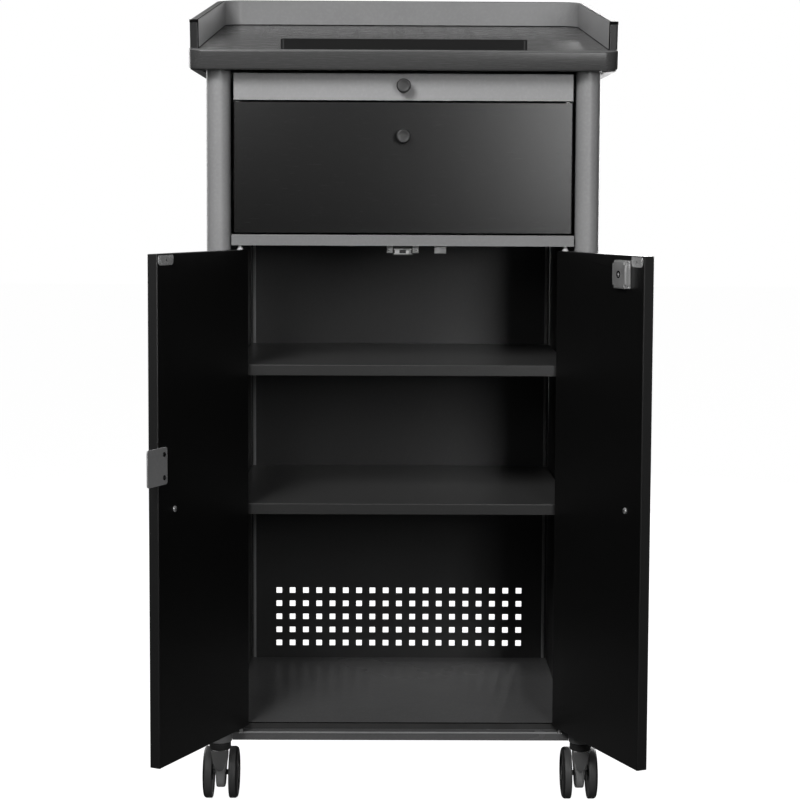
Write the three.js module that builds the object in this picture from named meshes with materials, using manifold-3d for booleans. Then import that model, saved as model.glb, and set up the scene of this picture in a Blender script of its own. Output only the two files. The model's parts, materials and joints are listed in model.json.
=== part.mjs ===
// Lectern podium on casters: four round posts, laminated doors and shelves, a drawer,
// a pull-out keyboard tray and a sloping worktop with a gallery rail.
// Millimetres. +X is the speaker's right, +Y points to the audience, +Z is up.
import * as THREE from 'three';
import { mergeVertices } from 'three/addons/utils/BufferGeometryUtils.js';
import Module from 'manifold-3d';

const wasm = await Module();
wasm.setup();

// Gap kept between pieces that touch
const GAP = 0.3;

// Posts and shell
const POST_RADIUS = 17;
const POST_X = 260;
const POST_REAR_Y = 412;
const POST_BOTTOM_Z = 89;
const POST_TOP_Z = 1049.6;
const INNER_X = 243;
const SIDE_PANEL_THICKNESS = 16;
const FRONT_Y = -8;
const CARCASS_FRONT_Y = 15;
const BACK_Y = 405;
const SHEET = 2;

// Bottom pan
const PAN_FRONT_Y = -2;
const FLOOR_Z = 113.2;
const LEDGE_Z = 103;
const PAN_BOTTOM_Z = 91.4;

// Back panel and its field of square vent holes
const BACK_FLANGE = 12;
const VENT_COLUMNS = 19;
const VENT_ROWS = 5;
const VENT_PITCH = 21.9;
const VENT_SIZE = 9.4;
const VENT_LOW_Z = 137.6;

// Shelves and divider
const SHELF_X = 241.5;
const SHELF_THICKNESS = 15.5;
const SHELF_TOPS_Z = { lower: 433, upper: 633.4 };
const DIVIDER_Z = [804.4, 819.6];
const DIVIDER_RAIL_DEPTH = 40;

// Drawer
const BOARD = 15.5;
const FACE_X = 238;
const DRAWER_FRONT_Z = [822.4, 1005.4];
const DRAWER_BOX_Z = [832, 962];
const DRAWER_BOX_BACK_Y = 366;
const DRAWER_SLIDE_Z = 890;

// Keyboard tray
const TRAY_Z = [1008.3, 1045.4];
const TRAY_SIDE_Z = 1036;
const TRAY_BACK_Y = 334;
const TRAY_SLIDE_Z = 1022;
const BOX_X = 229.4;

// Knobs
const KNOB_RADIUS = 10;
const KNOB_LENGTH = 19;
const DRAWER_KNOB_Z = 958;
const TRAY_KNOB_Z = 1028;
const DOOR_KNOB_Z = 456;
const DOOR_KNOB_REACH = 188;

// Doors: reach is measured from the hinge pins' axis to the free edge
const HINGE_X = 230;
const DOOR_Z = [111, 797.8];
const DOOR_REACH = 228.5;
const DOOR_HEEL = 10;
const DOOR_REST_ANGLE = { left: -115.9, right: 113.5 };
const PIN_RADIUS = 3;
const OVERLAP_PLATE = { reach: [209, 257], z: [492.7, 542.6], thickness: 2 };
const CATCH_PLATE_REACH = { left: [190, 227], right: [197.5, 226] };
const CATCH_PLATE_Z = [783, 796.5];
const CATCH_PLATE_THICKNESS = 1.2;

// Lock on the right door
const LOCK_REACH = [158, 195];
const LOCK_Z = [753.7, 791.4];
const LOCK_DEPTH = 8;
const LOCK_AXIS = { reach: 176.5, z: 771.3 };
const PLUG_RADIUS = 9;
const SPINDLE_RADIUS = 2.5;
const BOLT_WIDTH = 10;

// Worktop: a board tilted about its front top edge
const TILT = THREE.MathUtils.degToRad(8.66);
const TOP_FRONT_Y = -45;
const TOP_FRONT_Z = 1075.5;
const TOP_X = 299.2;
const TOP_LENGTH = 492.5;
const TOP_THICKNESS = 28;
const TOP_CORNER_FRONT = 22;
const GALLERY_X = 296.4;
const GALLERY_WALL = 12.2;
const GALLERY_HEIGHT = 39;
const GALLERY_FRONT = 12;
const GALLERY_CORNER = 42;
const BOOK_STOP = { halfWidth: 170.5, front: 6, thickness: 4, proud: 14.5, sunk: 12 };

// Wedge frame under the worktop
const FRAME_X = 298;
const FRAME_Z = 1050;
const FRAME_FRONT_Y = -12;
const FRAME_BACK_Y = 440;
const FRAME_SHEET = 1.6;
const FRAME_FLANGE = 12.5;
// Plan of the relief between a front post and the tapered front end of the side flange
const FRAME_RELIEF = [
  [278.5, -14], [296.2, -14], [295.4, -6], [292.6, 2], [289.4, 10], [287.8, 16], [278.5, 16],
];

// Casters
const CASTER_TRAIL = 22;
const WHEEL_RADIUS = 37.5;
const WHEEL_FACETS = 24;
const WHEEL_X = [12.1, 25.1];
const AXLE_Z = WHEEL_RADIUS * Math.cos(Math.PI / WHEEL_FACETS);

const steel = (color) => new THREE.MeshStandardMaterial({ color, roughness: 0.45, metalness: 0.6 });
const laminate = (color) => new THREE.MeshStandardMaterial({ color, roughness: 0.35, metalness: 0 });
const MATERIALS = {
  post: steel(0x9a9a9a),
  sheet: steel(0x8c8c8c),
  tray: steel(0x8e8e8e),
  slide: new THREE.MeshStandardMaterial({ color: 0xb4b4b4, roughness: 0.3, metalness: 0.9 }),
  board: laminate(0x262626),
  top: laminate(0x6c6c6c),
  trim: new THREE.MeshStandardMaterial({ color: 0x4a4a4a, roughness: 0.5, metalness: 0 }),
  black: new THREE.MeshStandardMaterial({ color: 0x1c1c1c, roughness: 0.4, metalness: 0.2 }),
  bright: new THREE.MeshStandardMaterial({ color: 0xc8c8c8, roughness: 0.25, metalness: 0.9 }),
  plastic: new THREE.MeshStandardMaterial({ color: 0x3a3a3a, roughness: 0.6, metalness: 0 }),
};

// A manifold solid from a closed three.js geometry
function solid(geometry) {
  const bare = geometry.clone();
  bare.deleteAttribute('normal');
  bare.deleteAttribute('uv');
  const merged = mergeVertices(bare, 1e-4);
  const mesh = new wasm.Mesh({
    numProp: 3,
    vertProperties: new Float32Array(merged.attributes.position.array),
    triVerts: new Uint32Array(merged.index.array),
  });
  return new wasm.Manifold(mesh);
}

// The three.js geometry of a manifold solid
function geometryOf(body) {
  const mesh = body.getMesh();
  const geometry = new THREE.BufferGeometry();
  geometry.setAttribute('position', new THREE.BufferAttribute(new Float32Array(mesh.vertProperties), 3));
  geometry.setIndex(new THREE.BufferAttribute(new Uint32Array(mesh.triVerts), 1));
  geometry.computeVertexNormals();
  return geometry;
}

// Box between two corners
function box([x0, x1], [y0, y1], [z0, z1]) {
  const geometry = new THREE.BoxGeometry(x1 - x0, y1 - y0, z1 - z0);
  geometry.translate((x0 + x1) / 2, (y0 + y1) / 2, (z0 + z1) / 2);
  return solid(geometry);
}

// Upright rod from z0 to z1
function rodZ(radius, x, y, z0, z1, facets = 24) {
  const geometry = new THREE.CylinderGeometry(radius, radius, z1 - z0, facets);
  geometry.rotateX(Math.PI / 2);
  geometry.translate(x, y, (z0 + z1) / 2);
  return solid(geometry);
}

// Rod along Y from y0 to y1
function rodY(radius, x, z, y0, y1, facets = 24) {
  const geometry = new THREE.CylinderGeometry(radius, radius, y1 - y0, facets);
  geometry.translate(x, (y0 + y1) / 2, z);
  return solid(geometry);
}

// Rod along X from x0 to x1
function rodX(radius, y, z, x0, x1, facets = 24) {
  const geometry = new THREE.CylinderGeometry(radius, radius, x1 - x0, facets);
  geometry.rotateZ(Math.PI / 2);
  geometry.translate((x0 + x1) / 2, y, z);
  return solid(geometry);
}

// Prism whose section is drawn in the YZ plane and which runs from x0 to x1
function prismX(points, x0, x1) {
  const shape = new THREE.Shape(points.map(([y, z]) => new THREE.Vector2(y, z)));
  const geometry = new THREE.ExtrudeGeometry(shape, { depth: x1 - x0, bevelEnabled: false });
  const turn = new THREE.Matrix4().makeBasis(
    new THREE.Vector3(0, 1, 0),
    new THREE.Vector3(0, 0, 1),
    new THREE.Vector3(1, 0, 0),
  );
  geometry.applyMatrix4(turn);
  geometry.translate(x0, 0, 0);
  return solid(geometry);
}

// Plate whose outline is drawn in the XY plane, from z0 to z1
function plateZ(shape, z0, z1, curveSegments = 8) {
  const geometry = new THREE.ExtrudeGeometry(shape, { depth: z1 - z0, bevelEnabled: false, curveSegments });
  geometry.translate(0, 0, z0);
  return solid(geometry);
}

const union = (first, ...rest) => rest.reduce((sum, body) => sum.add(body), first);
const cut = (first, ...rest) => rest.reduce((left, body) => left.subtract(body), first);

function place(parent, name, body, material) {
  const geometry = body.isBufferGeometry ? body : geometryOf(body);
  const mesh = new THREE.Mesh(geometry, material);
  mesh.name = name;
  parent.add(mesh);
  return mesh;
}

const podium = new THREE.Group();
const model = new THREE.Group();
podium.add(model);

const SIDES = [
  { name: 'left', s: -1 },
  { name: 'right', s: 1 },
];

// Signed X span on one side, lowest first
const span = (s, inner, outer) => (s > 0 ? [inner, outer] : [-outer, -inner]);

// ---------------------------------------------------------------- posts
for (const { name, s } of SIDES) {
  for (const [end, y] of [['front', 0], ['rear', POST_REAR_Y]]) {
    place(model, `post_${end}_${name}`, rodZ(POST_RADIUS, s * POST_X, y, POST_BOTTOM_Z, POST_TOP_Z, 32),
      MATERIALS.post);
  }
}

// ---------------------------------------------------------------- side panels, coped round the posts
for (const { name, s } of SIDES) {
  const x = span(s, INNER_X + GAP, INNER_X + GAP + SIDE_PANEL_THICKNESS);
  const slab = box(x, [2, POST_REAR_Y - 2], [PAN_BOTTOM_Z, POST_TOP_Z - 1]);
  const cope = POST_RADIUS + 0.4;
  const panel = cut(
    slab,
    rodZ(cope, s * POST_X, 0, 0, 1200, 32),
    rodZ(cope, s * POST_X, POST_REAR_Y, 0, 1200, 32),
  );
  place(model, `side_panel_${name}`, panel, MATERIALS.board);
}

// ---------------------------------------------------------------- back panel
function backPanel() {
  const half = INNER_X - 0.5;
  const low = PAN_BOTTOM_Z;
  const high = POST_TOP_Z - 1;
  const outer = box([-half, half], [BACK_Y, BACK_Y + BACK_FLANGE], [low, high]);
  const recess = box(
    [-half + SHEET, half - SHEET],
    [BACK_Y + SHEET, BACK_Y + BACK_FLANGE + 1],
    [low + SHEET, high - SHEET],
  );
  const holes = [];
  for (let column = 0; column < VENT_COLUMNS; column += 1) {
    for (let row = 0; row < VENT_ROWS; row += 1) {
      const x = (column - (VENT_COLUMNS - 1) / 2) * VENT_PITCH;
      const z = VENT_LOW_Z + row * VENT_PITCH;
      const h = VENT_SIZE / 2;
      holes.push(box([x - h, x + h], [BACK_Y - 1, BACK_Y + SHEET + 1], [z - h, z + h]));
    }
  }
  return cut(outer, recess, ...holes);
}
place(model, 'back_panel', backPanel(), MATERIALS.sheet);

// ---------------------------------------------------------------- bottom pan
function bottomPan() {
  const half = INNER_X - 0.5;
  const rear = BACK_Y - 0.5;
  const bottom = PAN_BOTTOM_Z;
  const deck = box([-half, half], [CARCASS_FRONT_Y, rear], [FLOOR_Z - SHEET, FLOOR_Z]);
  const lip = box([-half, half], [CARCASS_FRONT_Y, CARCASS_FRONT_Y + SHEET], [LEDGE_Z - SHEET, FLOOR_Z]);
  const ledge = box([-half, half], [PAN_FRONT_Y, CARCASS_FRONT_Y + SHEET], [LEDGE_Z - SHEET, LEDGE_Z]);
  const front = box([-half, half], [PAN_FRONT_Y, PAN_FRONT_Y + SHEET], [bottom, LEDGE_Z]);
  const back = box([-half, half], [rear - SHEET, rear], [bottom, FLOOR_Z]);
  const left = box([-half, -half + SHEET], [CARCASS_FRONT_Y, rear], [bottom, FLOOR_Z]);
  const right = box([half - SHEET, half], [CARCASS_FRONT_Y, rear], [bottom, FLOOR_Z]);
  const pan = union(deck, lip, ledge, front, back, left, right);
  const pinHoles = SIDES.map(({ s }) => rodZ(PIN_RADIUS + GAP, s * HINGE_X, 0, LEDGE_Z - SHEET - 0.1, 110));
  return cut(pan, ...pinHoles);
}
place(model, 'bottom_pan', bottomPan(), MATERIALS.sheet);

// ---------------------------------------------------------------- divider with its box rail
function divider() {
  const half = INNER_X - 1.5;
  const [low, high] = DIVIDER_Z;
  const railBack = FRONT_Y + DIVIDER_RAIL_DEPTH;
  const rail = box([-half, half], [FRONT_Y, railBack], [low, high]);
  const hollow = box(
    [-half - 1, half + 1],
    [FRONT_Y + SHEET, railBack - SHEET],
    [low + SHEET, high - SHEET],
  );
  const plate = box([-half, half], [railBack - SHEET, BACK_Y - 0.5], [high - SHEET, high]);
  const pinHoles = SIDES.map(({ s }) => rodZ(PIN_RADIUS + GAP, s * HINGE_X, 0, low - 1, low + 5));
  return cut(union(cut(rail, hollow), plate), ...pinHoles);
}
place(model, 'divider_panel', divider(), MATERIALS.sheet);

// ---------------------------------------------------------------- shelves
for (const [level, top] of Object.entries(SHELF_TOPS_Z)) {
  const shelf = box([-SHELF_X, SHELF_X], [CARCASS_FRONT_Y, BACK_Y - 2], [top - SHELF_THICKNESS, top]);
  place(model, `shelf_${level}`, shelf, MATERIALS.board);
}

// ---------------------------------------------------------------- catch and strike under the divider rail
const CATCH_TOP_Z = DIVIDER_Z[0] - GAP;
const magneticCatch = union(
  box([-14.4, 14.4], [10, 29], [790.4, CATCH_TOP_Z]),
  box([-23, 23], [13, 15], [793, CATCH_TOP_Z]),
);
place(model, 'magnetic_catch', magneticCatch, MATERIALS.plastic);

const LOCK_X = HINGE_X - LOCK_AXIS.reach;
const strike = union(
  box([LOCK_X - 8.3, LOCK_X + 8.3], [9.2, 26], [CATCH_TOP_Z - 1.6, CATCH_TOP_Z]),
  box([LOCK_X - 8.3, LOCK_X + 8.3], [9.2, 10.8], [793, CATCH_TOP_Z]),
);
place(model, 'lock_strike', strike, MATERIALS.bright);

// ---------------------------------------------------------------- ball-bearing slides
// Three nested channels per side, drawn by their half heights and X spans
function slideChannel(s, webX, lipX, halfHeight, z, y0, y1, sheet = 1.3) {
  const reach = span(s, Math.min(webX[0], lipX), Math.max(webX[1], lipX));
  const web = box(span(s, webX[0], webX[1]), [y0, y1], [z - halfHeight, z + halfHeight]);
  const low = box(reach, [y0, y1], [z - halfHeight, z - halfHeight + sheet]);
  const high = box(reach, [y0, y1], [z + halfHeight - sheet, z + halfHeight]);
  return union(web, low, high);
}

const SLIDES = {
  outer: { web: [241.3, 242.7], lip: 233.5, step: 0 },
  middle: { web: [239.4, 240.8], lip: 232.4, step: 3.3 },
  inner: { web: [229.8, 231.2], lip: 237.4, step: 6.6 },
};

function placeSlides(parent, prefix, member, z, halfHeight, y0, y1) {
  const { web, lip, step } = SLIDES[member];
  for (const { name, s } of SIDES) {
    place(parent, `${prefix}_slide_${member}_${name}`,
      slideChannel(s, web, lip, halfHeight - step, z, y0, y1), MATERIALS.slide);
  }
}
placeSlides(model, 'drawer', 'outer', DRAWER_SLIDE_Z, 22.5, 42, 372);
placeSlides(model, 'drawer', 'middle', DRAWER_SLIDE_Z, 22.5, 44, 370);
placeSlides(model, 'tray', 'outer', TRAY_SLIDE_Z, 14.5, 42, 344);
placeSlides(model, 'tray', 'middle', TRAY_SLIDE_Z, 14.5, 44, 342);

// ---------------------------------------------------------------- knobs
// Turned knob standing out of the plane y = 0 towards -Y
function knobGeometry() {
  const r = KNOB_RADIUS;
  const outline = [
    [0, 0], [6.5, 0], [6.5, 1.5], [4.8, 3], [4.8, 5.5], [7.5, 7.5], [r, 10],
    [r, KNOB_LENGTH - 2.4], [r - 1, KNOB_LENGTH - 0.6], [r - 3, KNOB_LENGTH], [0, KNOB_LENGTH],
  ];
  const geometry = new THREE.LatheGeometry(outline.map(([x, y]) => new THREE.Vector2(x, y)), 18);
  geometry.rotateX(Math.PI);
  return solid(geometry);
}

function placeKnob(parent, name, x, y, z) {
  const knob = place(parent, name, knobGeometry(), MATERIALS.black);
  knob.position.set(x, y, z);
}

// ---------------------------------------------------------------- keyboard tray
const tray = new THREE.Group();
model.add(tray);
function keyboardTray() {
  const [low, high] = TRAY_Z;
  const face = box([-FACE_X, FACE_X], [FRONT_Y, FRONT_Y + SHEET], [low, high]);
  const topLip = box([-FACE_X, FACE_X], [FRONT_Y, FRONT_Y + 14], [high - SHEET, high]);
  const deck = box([-BOX_X, BOX_X], [FRONT_Y, TRAY_BACK_Y], [low, low + SHEET]);
  const back = box([-BOX_X, BOX_X], [TRAY_BACK_Y - SHEET, TRAY_BACK_Y], [low, TRAY_SIDE_Z]);
  const left = box([-BOX_X, -BOX_X + SHEET], [FRONT_Y, TRAY_BACK_Y], [low, TRAY_SIDE_Z]);
  const right = box([BOX_X - SHEET, BOX_X], [FRONT_Y, TRAY_BACK_Y], [low, TRAY_SIDE_Z]);
  return union(face, topLip, deck, back, left, right);
}
place(tray, 'keyboard_tray', keyboardTray(), MATERIALS.tray);
placeKnob(tray, 'tray_knob', 0, FRONT_Y - GAP, TRAY_KNOB_Z);
placeSlides(tray, 'tray', 'inner', TRAY_SLIDE_Z, 14.5, 44, 332);

// ---------------------------------------------------------------- drawer
const drawer = new THREE.Group();
model.add(drawer);
const drawerFront = box([-FACE_X, FACE_X], [FRONT_Y, FRONT_Y + BOARD], DRAWER_FRONT_Z);
place(drawer, 'drawer_front', drawerFront, MATERIALS.board);
function drawerBox() {
  const front = FRONT_Y + BOARD + GAP;
  const back = DRAWER_BOX_BACK_Y;
  const [low, high] = DRAWER_BOX_Z;
  const outer = box([-BOX_X, BOX_X], [front, back], [low, high]);
  const hollow = box([-BOX_X + SHEET, BOX_X - SHEET], [front + SHEET, back - SHEET], [low + SHEET, high + 1]);
  return cut(outer, hollow);
}
place(drawer, 'drawer_box', drawerBox(), MATERIALS.sheet);
placeKnob(drawer, 'drawer_knob', 0, FRONT_Y - GAP, DRAWER_KNOB_Z);
placeSlides(drawer, 'drawer', 'inner', DRAWER_SLIDE_Z, 22.5, 44, 364);

// ---------------------------------------------------------------- doors
// Each leaf is drawn closed, measured from its hinge axis, then turned open about it.
const DOOR_FRONT_Y = -BOARD / 2;
const DOOR_BACK_Y = BOARD / 2;

function leafSpan(s, near, far) {
  return s > 0 ? [-far, -near] : [near, far];
}

function doorLeaf(s) {
  const c = 1;
  const heel = -DOOR_HEEL;
  const toe = DOOR_REACH;
  const half = BOARD / 2;
  const outline = [
    [heel, -half + c], [heel + c, -half], [toe - c, -half], [toe, -half + c],
    [toe, half - c], [toe - c, half], [heel + c, half], [heel, half - c],
  ].map(([reach, y]) => new THREE.Vector2(-s * reach, y));
  const shape = new THREE.Shape(outline);
  const leaf = plateZ(shape, DOOR_Z[0], DOOR_Z[1]);
  const topHole = rodZ(PIN_RADIUS + GAP, 0, 0, DOOR_Z[1] - 16, DOOR_Z[1] + 1);
  const bottomHole = rodZ(PIN_RADIUS + GAP, 0, 0, DOOR_Z[0] - 1, DOOR_Z[0] + 16);
  return cut(leaf, topHole, bottomHole);
}

function catchPlate(s, [near, far]) {
  const [x0, x1] = leafSpan(s, near, far);
  const [z0, z1] = CATCH_PLATE_Z;
  const r = (z1 - z0) / 2 - 0.5;
  const shape = new THREE.Shape();
  shape.absarc(x0 + r, 0, r, Math.PI / 2, Math.PI * 1.5, false);
  shape.absarc(x1 - r, 0, r, -Math.PI / 2, Math.PI / 2, false);
  const geometry = new THREE.ExtrudeGeometry(shape, {
    depth: CATCH_PLATE_THICKNESS, bevelEnabled: false, curveSegments: 8,
  });
  geometry.rotateX(Math.PI / 2);
  const plate = solid(geometry);
  const { min, max } = plate.boundingBox();
  return plate.translate([0, DOOR_BACK_Y + GAP - min[1], (z0 + z1) / 2 - (min[2] + max[2]) / 2]);
}

for (const { name, s } of SIDES) {
  const leaf = new THREE.Group();
  leaf.position.set(s * HINGE_X, 0, 0);
  leaf.rotation.z = THREE.MathUtils.degToRad(DOOR_REST_ANGLE[name]);
  model.add(leaf);

  let door = doorLeaf(s);
  if (name === 'right') {
    door = cut(door, rodY(PLUG_RADIUS + GAP, -s * LOCK_AXIS.reach, LOCK_AXIS.z, -20, 20, 32));
  }
  place(leaf, `door_${name}`, door, MATERIALS.board);
  placeKnob(leaf, `door_${name}_knob`, -s * DOOR_KNOB_REACH, DOOR_FRONT_Y - GAP, DOOR_KNOB_Z);
  place(leaf, `catch_plate_${name}`, catchPlate(s, CATCH_PLATE_REACH[name]), MATERIALS.bright);
  place(leaf, `hinge_pin_${name}_top`, rodZ(PIN_RADIUS, 0, 0, DOOR_Z[1] - 15.5, DOOR_Z[1] + 13), MATERIALS.bright);
  place(leaf, `hinge_pin_${name}_bottom`, rodZ(PIN_RADIUS, 0, 0, DOOR_Z[0] - 9.6, DOOR_Z[0] + 15.5),
    MATERIALS.bright);

  if (name === 'left') {
    const { reach, z, thickness } = OVERLAP_PLATE;
    const y = [DOOR_BACK_Y + GAP, DOOR_BACK_Y + GAP + thickness];
    place(leaf, 'door_overlap_plate', box(leafSpan(s, reach[0], reach[1]), y, z), MATERIALS.sheet);
  } else {
    const axisX = -s * LOCK_AXIS.reach;
    const caseBack = DOOR_BACK_Y + GAP;
    const caseFront = caseBack + LOCK_DEPTH;
    const boltY = [caseBack + 3.2, caseBack + 5.8];
    const boltX = [axisX - BOLT_WIDTH / 2, axisX + BOLT_WIDTH / 2];
    const boltZ = [LOCK_Z[1] - 15, LOCK_Z[1]];
    const slot = box(
      [boltX[0] - GAP, boltX[1] + GAP],
      [boltY[0] - GAP, boltY[1] + GAP],
      [boltZ[0] - GAP, boltZ[1] + 1],
    );
    const lockCase = cut(
      box(leafSpan(s, LOCK_REACH[0], LOCK_REACH[1]), [caseBack, caseFront], LOCK_Z),
      slot,
      rodY(SPINDLE_RADIUS + GAP, axisX, LOCK_AXIS.z, 0, 30),
    );
    place(leaf, 'lock_case', lockCase, MATERIALS.black);
    place(leaf, 'lock_bolt', box(boltX, boltY, boltZ), MATERIALS.bright);
    const keyway = box([axisX - 0.6, axisX + 0.6], [-20, DOOR_FRONT_Y + 2], [LOCK_AXIS.z - 4, LOCK_AXIS.z + 4]);
    const cylinder = union(
      rodY(PLUG_RADIUS, axisX, LOCK_AXIS.z, DOOR_FRONT_Y - 1.5, DOOR_BACK_Y - 0.2, 32),
      rodY(SPINDLE_RADIUS, axisX, LOCK_AXIS.z, DOOR_BACK_Y - 1, caseFront + 0.8),
    );
    place(leaf, 'lock_cylinder', cut(cylinder, keyway), MATERIALS.bright);
  }
}

// ---------------------------------------------------------------- worktop, gallery rail and book stop
// Drawn flat, with y running up the slope from the front edge and z = 0 on the top face
const slope = new THREE.Group();
slope.position.set(0, TOP_FRONT_Y, TOP_FRONT_Z);
slope.rotation.x = TILT;
model.add(slope);

function roundedOutline(halfX, y0, y1, frontRadius, backRadius) {
  const shape = new THREE.Shape();
  shape.absarc(-halfX + frontRadius, y0 + frontRadius, frontRadius, Math.PI, Math.PI * 1.5, false);
  shape.absarc(halfX - frontRadius, y0 + frontRadius, frontRadius, -Math.PI / 2, 0, false);
  shape.absarc(halfX - backRadius, y1 - backRadius, backRadius, 0, Math.PI / 2, false);
  shape.absarc(-halfX + backRadius, y1 - backRadius, backRadius, Math.PI / 2, Math.PI, false);
  return shape;
}

function worktop() {
  const edge = 3;
  const shape = roundedOutline(TOP_X - edge, edge, TOP_LENGTH - edge, TOP_CORNER_FRONT - edge, GALLERY_CORNER);
  const board = new THREE.ExtrudeGeometry(shape, {
    depth: TOP_THICKNESS - 2 * edge,
    bevelEnabled: true,
    bevelThickness: edge,
    bevelSize: edge,
    bevelSegments: 2,
    curveSegments: 8,
  });
  board.translate(0, 0, -TOP_THICKNESS + edge);
  const { halfWidth, front, thickness } = BOOK_STOP;
  const slot = box(
    [-halfWidth - 0.6, halfWidth + 0.6],
    [front - 0.6, front + thickness + 0.6],
    [-TOP_THICKNESS - 1, 1],
  );
  return cut(solid(board), slot);
}
place(slope, 'worktop', worktop(), MATERIALS.top);

function galleryRail() {
  const backY = TOP_LENGTH - 1.2;
  const inner = GALLERY_X - GALLERY_WALL;
  const outerShape = roundedOutline(GALLERY_X, GALLERY_FRONT, backY, 1, GALLERY_CORNER);
  const innerShape = roundedOutline(inner, GALLERY_FRONT - 20, backY - GALLERY_WALL, 1, GALLERY_CORNER - GALLERY_WALL);
  return cut(plateZ(outerShape, GAP, GALLERY_HEIGHT + GAP), plateZ(innerShape, -5, GALLERY_HEIGHT + 5));
}
place(slope, 'gallery_rail', galleryRail(), MATERIALS.sheet);

const bookStop = box(
  [-BOOK_STOP.halfWidth, BOOK_STOP.halfWidth],
  [BOOK_STOP.front, BOOK_STOP.front + BOOK_STOP.thickness],
  [-BOOK_STOP.sunk, BOOK_STOP.proud],
);
place(slope, 'book_stop', bookStop, MATERIALS.black);

// ---------------------------------------------------------------- wedge frame under the worktop
// Height of the worktop's underside at a given y
function undersideZ(y) {
  const bottomFrontY = TOP_FRONT_Y + TOP_THICKNESS * Math.sin(TILT);
  const bottomFrontZ = TOP_FRONT_Z - TOP_THICKNESS * Math.cos(TILT);
  return bottomFrontZ + (y - bottomFrontY) * Math.tan(TILT);
}

function wedgeFrame() {
  const f = FRAME_FRONT_Y;
  const b = FRAME_BACK_Y;
  const t = FRAME_SHEET;
  const profile = [[f, FRAME_Z], [b, FRAME_Z], [b, undersideZ(b) - GAP], [f, undersideZ(f) - GAP]];
  const outer = prismX(profile, -FRAME_X, FRAME_X);
  const hollow = box([-FRAME_X + t, FRAME_X - t], [f - 50, b - t], [FRAME_Z + t, 1300]);
  const opening = box(
    [-FRAME_X + FRAME_FLANGE, FRAME_X - FRAME_FLANGE],
    [f + 32, b - FRAME_FLANGE],
    [FRAME_Z - 5, FRAME_Z + 5],
  );
  const reliefs = SIDES.map(({ s }) => {
    const outline = FRAME_RELIEF.map(([x, y]) => new THREE.Vector2(s * x, y));
    return plateZ(new THREE.Shape(outline), FRAME_Z - 5, FRAME_Z + t + 0.4);
  });
  const rearTie = box([-FRAME_X + 5, FRAME_X - 5], [POST_REAR_Y - 16, POST_REAR_Y + 16], [FRAME_Z, FRAME_Z + t]);
  return union(cut(outer, hollow, opening, ...reliefs), rearTie);
}
place(model, 'top_wedge_frame', wedgeFrame(), MATERIALS.sheet);

// ---------------------------------------------------------------- casters
// Each caster is drawn about its swivel axis, with the axle trailing towards +Y.
function casterFork() {
  const swivel = rodZ(15.5, 0, 0, 77.5, POST_BOTTOM_Z - GAP, 32);
  const body = prismX([
    [-13, 77.6], [-14.5, 66], [-10, 52], [0, 38], [8, 25], [20, 19],
    [30, 24], [34, 38], [30, 56], [17, 70], [13, 77.6],
  ], -7.4, 7.4);
  const axle = rodX(4, CASTER_TRAIL, AXLE_Z, -WHEEL_X[1] + 1, WHEEL_X[1] - 1);
  return union(swivel, body, axle);
}

function wheelGeometry() {
  const [x0, x1] = WHEEL_X;
  const R = WHEEL_RADIUS;
  const outline = [
    [4.3, x0], [R - 1.5, x0], [R, x0 + 1.5], [R, x1 - 2], [R - 3, x1],
    [28, x1], [26, x1 - 2.5], [4.3, x1 - 2.5], [4.3, x0],
  ];
  const geometry = new THREE.LatheGeometry(
    outline.map(([radius, x]) => new THREE.Vector2(radius, x)),
    WHEEL_FACETS,
  );
  geometry.rotateY(Math.PI / WHEEL_FACETS);
  geometry.rotateZ(-Math.PI / 2);
  return solid(geometry);
}

for (const { name, s } of SIDES) {
  for (const [end, y] of [['front', 0], ['rear', POST_REAR_Y]]) {
    const caster = new THREE.Group();
    caster.position.set(s * POST_X, y, 0);
    model.add(caster);
    place(caster, `caster_${end}_${name}_fork`, casterFork(), MATERIALS.plastic);
    for (const side of SIDES) {
      const wheel = side.s > 0 ? wheelGeometry() : wheelGeometry().mirror([1, 0, 0]);
      const mesh = place(caster, `caster_${end}_${name}_wheel_${side.name}`, wheel, MATERIALS.trim);
      mesh.position.set(0, CASTER_TRAIL, AXLE_Z);
    }
  }
}

// Origin on the floor, on the cabinet's mid plane, under the middle of the object's depth
model.updateMatrixWorld(true);
const bounds = new THREE.Box3().setFromObject(model, true);
model.position.set(0, -bounds.getCenter(new THREE.Vector3()).y, -bounds.min.z);

export default podium;
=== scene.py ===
import json
import math

import bmesh
import bpy
from mathutils import Matrix, Vector


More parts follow.
